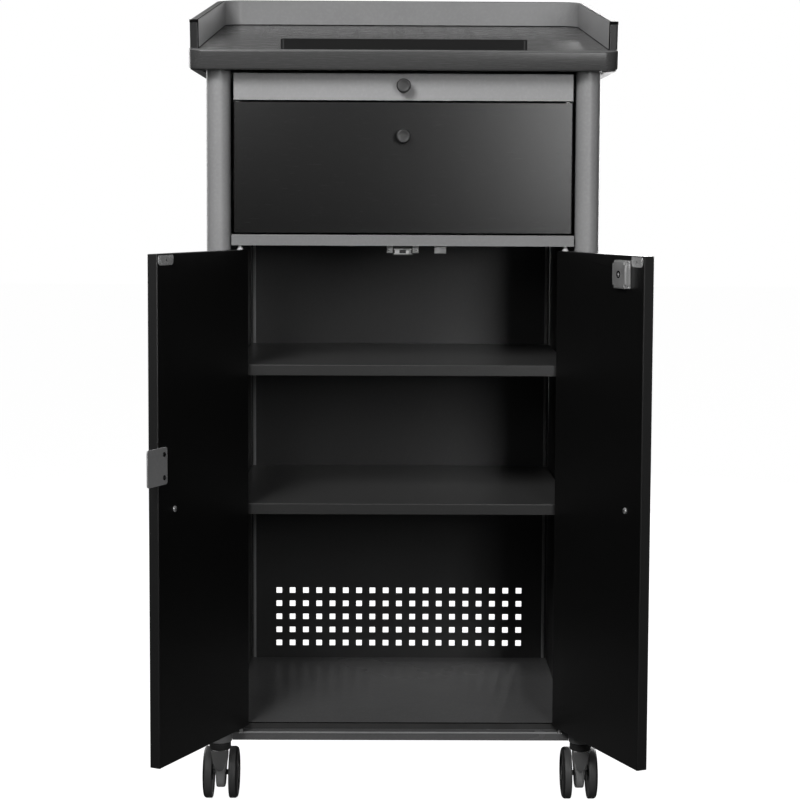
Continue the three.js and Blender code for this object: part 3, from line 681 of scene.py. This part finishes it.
# ------------------------------------------------------------------ door hardware
def door_frame(side, reach, z, s, depth=LEAF_HALF):
    """Frame on the leaf's inner face: x along the leaf to its free edge, z out of the face."""
    to_edge = DOOR_FRAME[side].to_3x3() @ Vector((-s, 0, 0))
    out = DOOR_FRAME[side].to_3x3() @ Y
    origin = DOOR_FRAME[side] @ Vector((-s * reach, depth, z))
    matrix = Matrix((to_edge, Z, out)).transposed().to_4x4()
    matrix.translation = origin
    return matrix


for side, s in SIDES:
    # catch plate with its centre screw
    # nearest and furthest point of the plate, measured from the hinge
    near, far = (0.190, 0.227) if side == "left" else (0.1975, 0.226)
    half, tall = (far - near) / 2, 0.0067
    bm = bmesh.new()
    lower, upper = 0.0052, 0.0022
    outline = (arc(-half + lower, -tall + lower, lower, 180, 270, 10)
               + arc(half - lower, -tall + lower, lower, 270, 360, 10)
               + arc(half - upper, tall - upper, upper, 0, 90, 5)
               + arc(-half + upper, tall - upper, upper, 90, 180, 5))
    prism_into(bm, outline, 0.0003, 0.0010, 0, inset=0.0002)
    raised = [(x * 0.80, y * 0.66) for x, y in outline]
    prism_into(bm, raised, 0.0009, 0.0013, 0, inset=0.0002)
    place = door_frame(side, (near + far) / 2, 0.78975, s)
    ride(finish_mesh(f"catch_strike_plate_{side}", bm, [MAT["nickel"]], place), f"door_{side}",
         "bright_steel", f"catch_plate_{side}")
    screw(f"catch_strike_screw_{side}", f"door_{side}", place @ Matrix.Translation((0, 0, 0.0009)),
          0.0030, 0.0006)

    # hinge pins, each with a bush: white nylon at the top, black at the bottom
    for end in ("top", "bottom"):
        node = f"hinge_pin_{side}_{end}"
        low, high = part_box(node)
        c = (low + high) / 2
        bm = bmesh.new()
        lathe_into(bm, [(0, low.z), (0.0024, low.z), (0.0029, low.z + 0.0006), (0.0029, high.z - 0.0008),
                        (0.0022, high.z), (0, high.z)], 28)
        axis = Matrix.Translation((c.x, c.y, 0))
        ride(finish_mesh(f"round_{node}", bm, [MAT["nickel"]], axis), f"door_{side}", "bright_steel",
             node)
        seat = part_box(f"door_{side}")[1].z
        if end == "bottom":
            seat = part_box(f"door_{side}")[0].z
        turn = 1 if end == "top" else -1
        bm = bmesh.new()
        lathe_into(bm, [(r, seat + turn * h) for r, h in (
            (0.0030, 0.0), (0.0044, 0.0), (0.0046, 0.0003), (0.0046, 0.0010), (0.0037, 0.0014),
            (0.0036, 0.0030), (0.0030, 0.0032), (0.0030, 0.0))], 32)
        bush = finish_mesh(f"hinge_bush_{side}_{end}", bm, [MAT["nylon" if end == "top" else "trim"]], axis)
        ride(bush, f"door_{side}", "black_plastic")

# overlap plate on the left leaf
place = door_frame("left", 0.233, 0.51765, -1)
bm = bmesh.new()
prism_into(bm, rounded_rect(-0.024, 0.024, -0.02495, 0.02495, 0.004, 6), 0.0003, 0.0022, 0, inset=0.0003)
ride(finish_mesh("overlap_plate", bm, [MAT["plate"]], place), "door_left", "sheet_paint",
     "door_overlap_plate")
for k, dz in enumerate((-0.0155, 0.0155)):
    screw(f"overlap_plate_screw_{k}", "door_left", place @ Matrix.Translation((-0.016, dz, 0.0021)),
          0.0034, 0.0013, mat="screw_black")

# rim lock on the right leaf: a cast case with notched corners and four screws
LOCK_REACH = 0.1765  # from the hinge to the lock's axis
place = door_frame("right", LOCK_REACH, 0.77255, 1)
hw, hh, notch, deep = 0.0183, 0.01865, 0.0042, 0.0082  # half width, half height, corner notch, depth
outline = [
    (-hw + notch, -hh), (hw - notch, -hh), (hw - notch, -hh + notch), (hw, -hh + notch),
    (hw, hh - notch), (hw - notch, hh - notch), (hw - notch, hh), (-hw + notch, hh),
    (-hw + notch, hh - notch), (-hw, hh - notch), (-hw, -hh + notch), (-hw + notch, -hh + notch),
]
bm = bmesh.new()
box_into(bm, (-hw, -hh, SEAT_GAP), (hw, hh, 0.0026))
prism_into(bm, outline, 0.0026, deep - 0.0012)
raised = [(x * 0.90, y * 0.90) for x, y in outline]
prism_into(bm, raised, deep - 0.0012, deep)
# near-black ring round the cylinder's hole: painted shade in the hole
lathe_into(bm, [(0.0029, deep), (0.0050, deep), (0.0050, deep + 0.0005), (0.0029, deep + 0.0005)], 32, 1)
lock_case = finish_mesh("rim_lock_case", bm, [MAT["lock"], MAT["dark"]], place, bevel=0.0005)
ride(lock_case, "door_right", "bright_steel", "lock_case")
for i, dx in enumerate((-1, 1)):
    for j, dy in enumerate((-1, 1)):
        screw(f"rim_lock_screw_{i}{j}", "door_right",
              place @ Matrix.Translation((dx * (hw - 0.0021), dy * (hh - 0.0021), 0.0024)), 0.0018, 0.0012)

# lock cylinder: a rosette with a keyhole outside, a slotted spindle inside; keyhole and slot are near-black
# boxes, painted shade in place of the openings
axis_matrix = door_frame("right", LOCK_REACH, 0.7713, 1, 0.0)
bm = bmesh.new()
lathe_into(bm, [(0, -0.0074), (0.0089, -0.0074), (0.0089, 0.0082), (0.0086, 0.0088), (0.0078, 0.0092),
                (0.0062, 0.0092), (0.0058, 0.0089), (0, 0.0089)], 48, 0, Matrix.Rotation(math.pi, 4, "Y"))
lathe_into(bm, [(0, 0.0074), (0.0024, 0.0074), (0.0024, 0.0164), (0.0018, 0.0168), (0, 0.0168)], 28)
box_into(bm, (-0.0006, -0.0036, -0.00905), (0.0006, 0.0036, -0.0080), 1)
box_into(bm, (-0.0017, -0.0005, 0.0160), (0.0017, 0.0005, 0.01688), 1)
ride(finish_mesh("lock_plug", bm, [MAT["nickel"], MAT["dark"]], axis_matrix), "lock_cylinder", "bright_steel",
     "lock_cylinder")

# ------------------------------------------------------------------ catch and strike under the divider rail
low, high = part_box("magnetic_catch")
body_low, body_high = 0.7904, 0.8012
bm = bmesh.new()
front = low.y
outline = rounded_rect(-0.0144, 0.0144, front + 0.0010, front + 0.019, 0.0015, 4)
prism_into(bm, outline, body_low, body_high, 0, inset=0.0004)
box_into(bm, (-0.0225, front + 0.0032, 0.7938), (0.0225, front + 0.0050, high.z), 1)
for x in (-0.0112, 0.0046):
    box_into(bm, (x, front + 0.0002, body_low + 0.0030), (x + 0.0066, front + 0.004, body_high - 0.0030), 2)
box_into(bm, (-0.0126, front + 0.0003, body_low + 0.0016), (0.0126, front + 0.002, body_low + 0.0027), 2)
box_into(bm, (-0.0126, front + 0.0003, body_high - 0.0027), (0.0126, front + 0.002, body_high - 0.0016), 2)
box_into(bm, (-0.0144, front + 0.003, body_high - 0.0004), (0.0144, front + 0.017, high.z), 0)
catch = finish_mesh("double_catch", bm, [MAT["caster"], MAT["lock"], MAT["nickel"]], None, bevel=0.0003)
ride(catch, "cabinet", "black_plastic", "magnetic_catch")
for side, s in SIDES:
    screw(f"double_catch_screw_{side}", "cabinet",
          along(Vector((s * 0.0197, front + 0.0032, 0.7978)), -Y), 0.0023, 0.0011)

low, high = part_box("lock_strike")
bm = bmesh.new()
thick = 0.0016
outline = [(low.y, low.z + 0.0008), (low.y + 0.0008, low.z), (low.y + thick, low.z),
           (low.y + thick, high.z - thick), (high.y, high.z - thick), (high.y, high.z),
           (low.y + 0.0012, high.z), (low.y, high.z - 0.0012)]
prism_into(bm, outline, low.x, high.x, 0, ALONG_X)
ride(finish_mesh("strike_angle", bm, [MAT["lock"]], None, bevel=0.0003), "cabinet", "bright_steel",
     "lock_strike")

# ------------------------------------------------------------------ shelf pins, seams and panel screws
for level in ("upper", "lower"):
    low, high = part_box(f"shelf_{level}")
    for side, s in SIDES:
        for k, y in enumerate((low.y + 0.035, high.y - 0.035)):
            bm = bmesh.new()
            r = 0.0025
            lathe_into(bm, [(0, 0), (0.0042, 0), (0.0045, 0.0004), (0.0045, 0.0012), (r, 0.0016),
                            (r, 0.0092), (r - 0.0006, 0.0098), (0, 0.0098)], 24)
            place = along(Vector((s * 0.2432, y, low.z - 0.0048)), Vector((-s, 0, 0)))
            ride(finish_mesh(f"shelf_pin_{level}_{side}_{k}", bm, [MAT["nickel"]], place), "cabinet",
                 "zinc_steel")

low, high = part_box("back_panel")
for side, s in SIDES:
    bm = bmesh.new()
    x0, x1 = sorted((s * 0.2350, s * 0.2392))
    prism_into(bm, rounded_rect(x0, x1, low.y - 0.0012, low.y - 0.0001, 0.0004, 2), 0.1136, 0.8168, 0)
    ride(finish_mesh(f"back_corner_bead_{side}", bm, [MAT["sheet"]], None), "cabinet", "sheet_paint")
    for k, z in enumerate((0.128, 0.35, 0.58, 0.80, 1.02)):
        screw(f"back_panel_screw_{side}_{k}", "cabinet", along(Vector((s * 0.236, low.y + 0.002, z)), Y),
              0.0042, 0.0020, mat="zinc")


# near-black strip on the pan's front wall, painted shade for the wall in shadow, with a darker strip over it
# as a painted shadow line, and below it a bead along the ledge's front edge, painted lighter as a highlight
low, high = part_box("bottom_pan")
wall_y, reach = POST_Y + 0.015, 0.2260
bm = bmesh.new()
box_into(bm, (-reach, wall_y - 0.0007, 0.1034), (reach, wall_y + 0.0003, 0.1114))
box_into(bm, (-reach, wall_y - 0.0005, 0.1114), (reach, wall_y + 0.0003, 0.1131), 1)
ride(finish_mesh("pan_wall_shade_strip", bm, [MAT["pan_shade"], MAT["dark"]], None, bevel=0.0002), "cabinet",
     "black_plastic")
bm = bmesh.new()
prism_into(bm, rounded_rect(low.y - 0.0007, low.y + 0.0014, 0.1012, 0.1037, 0.0009, 5), -reach, reach, 0,
           ALONG_X)
ride(finish_mesh("pan_ledge_hem", bm, [MAT["hem_highlight"]], None), "cabinet", "sheet_paint")

# ------------------------------------------------------------------ casters
def wheel(name, body, centre, out, node):
    """Twin-caster wheel: crowned tread, domed outer face with a stepped hub cap."""
    R = AXLE_Z - 0.00003  # the tread just clears the floor
    bm = bmesh.new()
    lathe_into(bm, [
        (0.0043, 0.0000, 1), (0.0110, 0.0000, 1), (0.0116, 0.0012, 1), (0.0330, 0.0012, 1),
        (0.0336, 0.0000, 0),
        (R - 0.0012, 0.0000, 0), (R - 0.0003, 0.0006, 0), (R, 0.0016, 0), (R, 0.0086, 0),
        (R - 0.0005, 0.0101, 1), (R - 0.0016, 0.0116, 1), (R - 0.0032, 0.0125, 1), (R - 0.0058, 0.0130, 1),
        (R - 0.0086, 0.0130, 1), (R - 0.0096, 0.0124, 1), (R - 0.0102, 0.0110, 1), (0.0245, 0.0104, 1),
        (0.0170, 0.0106, 1), (0.0128, 0.0112, 1), (0.0112, 0.0120, 1), (0.0104, 0.0128, 1),
        (0.0090, 0.0130, 1), (0.0070, 0.0128, 1),
        (0.0062, 0.0124, 1), (0.0043, 0.0124, 1), (0.0043, 0.0000, 1),
    ], 84)
    return ride(finish_mesh(name, bm, [MAT["wheel"], MAT["hub"]], along(centre, out), smooth=32), body,
                "wheel_rubber", node)


def fork(name, body, origin, node):
    """Swivel collar, hood between the wheels with a pointed front shield, and the axle."""
    bm = bmesh.new()
    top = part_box(node)[1].z
    lathe_into(bm, [
        (0, top), (0.0146, top), (0.0155, top - 0.0008), (0.0155, 0.0806), (0.0150, 0.0792), (0.0138, 0.0784),
        (0.0120, 0.0780), (0.0118, 0.0772), (0, 0.0772),
    ], 56)
    # hood, lofted down its own height from section to section
    # height, front, back, half width
    sections = [
        (0.0784, -0.0118, 0.0125, 0.0104), (0.0740, -0.0132, 0.0165, 0.0108),
        (0.0680, -0.0136, 0.0220, 0.0106), (0.0600, -0.0122, 0.0275, 0.0098),
        (0.0520, -0.0092, 0.0315, 0.0084), (0.0440, -0.0052, 0.0335, 0.0075),
        (0.0370, -0.0022, 0.0340, 0.0070), (0.0300, 0.0004, 0.0325, 0.0069),
        (0.0245, 0.0030, 0.0290, 0.0068), (0.0205, 0.0056, 0.0250, 0.0066),
        (0.0188, 0.0074, 0.0225, 0.0060),
    ]
    rings = []
    for z, y0, y1, half in sections:
        r = min(0.0042, (y1 - y0) * 0.45, half * 0.6)
        rings.append([bm.verts.new((x, y, z)) for x, y in rounded_rect(-half, half, y0, y1, r, 5)])
    n = len(rings[0])
    for a, b in zip(rings, rings[1:]):
        for k in range(n):
            m = (k + 1) % n
            bm.faces.new((a[k], a[m], b[m], b[k])).material_index = 1
    bm.faces.new(rings[0]).material_index = 1
    bm.faces.new(list(reversed(rings[-1]))).material_index = 1
    # front shield: an inverted trapezoid with a rounded tip, laid on the hood's front
    shield_top, shield_front, lean = 0.0776, -0.0164, 0.20
    shield = [(-0.0118, shield_top), (-0.0112, 0.0715), (-0.0095, 0.0630), (-0.0070, 0.0560)]
    shield += [(0.0064 * math.cos(math.radians(a)), 0.0540 + 0.0062 * math.sin(math.radians(a)))
               for a in (205, 225, 245, 260, 280, 295, 315, 335)]
    shield += [(-x, z) for x, z in reversed(shield[:4])]
    front = [(x, shield_front + (shield_top - z) * lean, z) for x, z in shield]
    outer = [bm.verts.new(p) for p in front]
    inner = [bm.verts.new((x, y + 0.0060, z)) for x, y, z in front]
    bm.faces.new(outer).material_index = 3
    bm.faces.new(list(reversed(inner))).material_index = 3
    for k in range(len(outer)):
        m = (k + 1) % len(outer)
        bm.faces.new((outer[k], inner[k], inner[m], outer[m])).material_index = 3
    # axle with its end caps
    axle = Matrix.Translation((0, 0.022, AXLE_Z)) @ Matrix.Rotation(math.radians(90), 4, "Y")
    e = 0.0246
    lathe_into(bm, [(0, -e), (0.0032, -e), (0.0040, -e + 0.0008), (0.0040, e - 0.0008), (0.0032, e),
                    (0, e)], 28, 2, axle)
    obj = finish_mesh(name, bm, [MAT["caster"], MAT["caster_light"], MAT["nickel"], MAT["caster_shield"]],
                      Matrix.Translation((origin.x, origin.y, 0)), smooth=40, bevel=0.0005)
    return ride(obj, body, "caster_plastic", node)


for end in ("front", "rear"):
    for side, s in SIDES:
        caster = f"caster_{end}_{side}"
        pivot = Vector(JOINTS[f"{caster}_swivel"]["pos_m"])
        fork(f"{caster}_hood", caster, pivot, f"{caster}_fork")
        for inner, t in SIDES:
            node = f"{caster}_wheel_{inner}"
            pos = Vector(JOINTS[f"{node}_spin"]["pos_m"])
            centre = Vector((pivot.x + t * 0.0121, pos.y, pos.z))
            wheel(f"{node}_tyre", node, centre, Vector((t, 0, 0)), node)

# ------------------------------------------------------------------ floor, light and camera
ROOM, WALL = 0.035, 0.16  # strength of the surroundings in front of the lectern and behind it
LEFT, RIGHT, FILL = 5.8, 3.9, 0.9  # watts of the lights in front
BEHIND_RIGHT, BEHIND_LEFT = 26.0, 10.0  # watts of the lights behind
bpy.ops.mesh.primitive_plane_add(size=30, location=(0, 0, 0))
floor = bpy.context.object
floor.name = "studio_floor"
floor_mat, tree, shader = new_material("studio_floor")
shader.inputs["Base Color"].default_value = (0.5, 0.5, 0.5, 1)
shader.inputs["Roughness"].default_value = 0.9
shader.inputs["Specular IOR Level"].default_value = 0.0
shader.inputs["Emission Color"].default_value = (1, 1, 1, 1)
shader.inputs["Emission Strength"].default_value = 0.97
floor.data.materials.append(floor_mat)
# the floor is mostly self-lit, and neither lights the lectern nor shows in its gloss
floor.visible_diffuse = False
floor.visible_glossy = False
floor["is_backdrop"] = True

# white backdrop for the camera; for lighting, a pale wall behind the lectern and a dim room in front
world = bpy.data.worlds.new("studio")
world.use_nodes = True
bpy.context.scene.world = world
wt = world.node_tree
backdrop = wt.nodes["Background"]
backdrop.inputs["Color"].default_value = (1, 1, 1, 1)
room = wt.nodes.new("ShaderNodeBackground")
direction = wt.nodes.new("ShaderNodeTexCoord")
split = wt.nodes.new("ShaderNodeSeparateXYZ")
wt.links.new(direction.outputs["Generated"], split.inputs["Vector"])
wall = wt.nodes.new("ShaderNodeMapRange")
wall.interpolation_type = "SMOOTHSTEP"
wall.inputs["From Min"].default_value = 0.35
wall.inputs["From Max"].default_value = 0.95
wall.inputs["To Min"].default_value = ROOM
wall.inputs["To Max"].default_value = WALL
wt.links.new(split.outputs["Y"], wall.inputs["Value"])
wt.links.new(wall.outputs["Result"], room.inputs["Strength"])
ray = wt.nodes.new("ShaderNodeLightPath")
pick = wt.nodes.new("ShaderNodeMixShader")
wt.links.new(ray.outputs["Is Camera Ray"], pick.inputs["Fac"])
wt.links.new(room.outputs["Background"], pick.inputs[1])
wt.links.new(backdrop.outputs["Background"], pick.inputs[2])
wt.links.new(pick.outputs["Shader"], wt.nodes["World Output"].inputs["Surface"])


def softbox(name, location, target, width, height, power, spread):
    light = bpy.data.lights.new(name, "AREA")
    light.shape = "RECTANGLE"
    light.size = width
    light.size_y = height
    light.energy = power
    light.spread = math.radians(spread)
    obj = bpy.data.objects.new(name, light)
    bpy.context.scene.collection.objects.link(obj)
    obj.location = location
    obj.rotation_euler = (Vector(target) - Vector(location)).to_track_quat("-Z", "Y").to_euler()
    obj.visible_camera = False
    return obj


softbox("left_high", (-0.85, -1.80, 1.95), (-0.10, -0.10, 1.00), 0.7, 0.7, LEFT, 80)
softbox("right_front", (0.80, -2.85, 1.25), (0.05, 0.0, 0.95), 0.60, 0.8, RIGHT, 80)
softbox("behind_right", (1.30, 2.90, 1.15), (0.0, 0.1, 0.6), 1.5, 1.8, BEHIND_RIGHT, 110)
softbox("behind_left", (-2.10, 2.40, 1.40), (0.0, 0.1, 0.6), 1.4, 1.8, BEHIND_LEFT, 100)
softbox("left_front", (-0.58, -2.70, 1.55), (0.0, 0.0, 0.9), 0.35, 0.8, FILL, 100)

camera_data = bpy.data.cameras.new("photo_view")
camera = bpy.data.objects.new("photo_view", camera_data)
bpy.context.scene.collection.objects.link(camera)
camera_data.sensor_width = 36.0
camera_data.lens = 87.09
camera_data.shift_y = -0.070
yaw, pitch, roll = (math.radians(a) for a in (0.433, 4.575, 0.266))
forward = Vector((math.sin(yaw) * math.cos(pitch), math.cos(yaw) * math.cos(pitch), -math.sin(pitch)))
flat = Vector((math.cos(yaw), -math.sin(yaw), 0))
upward = flat.cross(forward)
right = flat * math.cos(roll) + upward * math.sin(roll)
upward = upward * math.cos(roll) - flat * math.sin(roll)
pose = Matrix((right, upward, -forward)).transposed().to_4x4()
CAMERA_X, CAMERA_DISTANCE, CAMERA_HEIGHT = -0.0240, 2.7404, 0.8842  # distance from the front posts' axis
pose.translation = (CAMERA_X, POST_Y - CAMERA_DISTANCE, CAMERA_HEIGHT)
camera.matrix_world = pose
bpy.context.scene.camera = camera
bpy.context.scene.view_settings.view_transform = "Standard"

low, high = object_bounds()
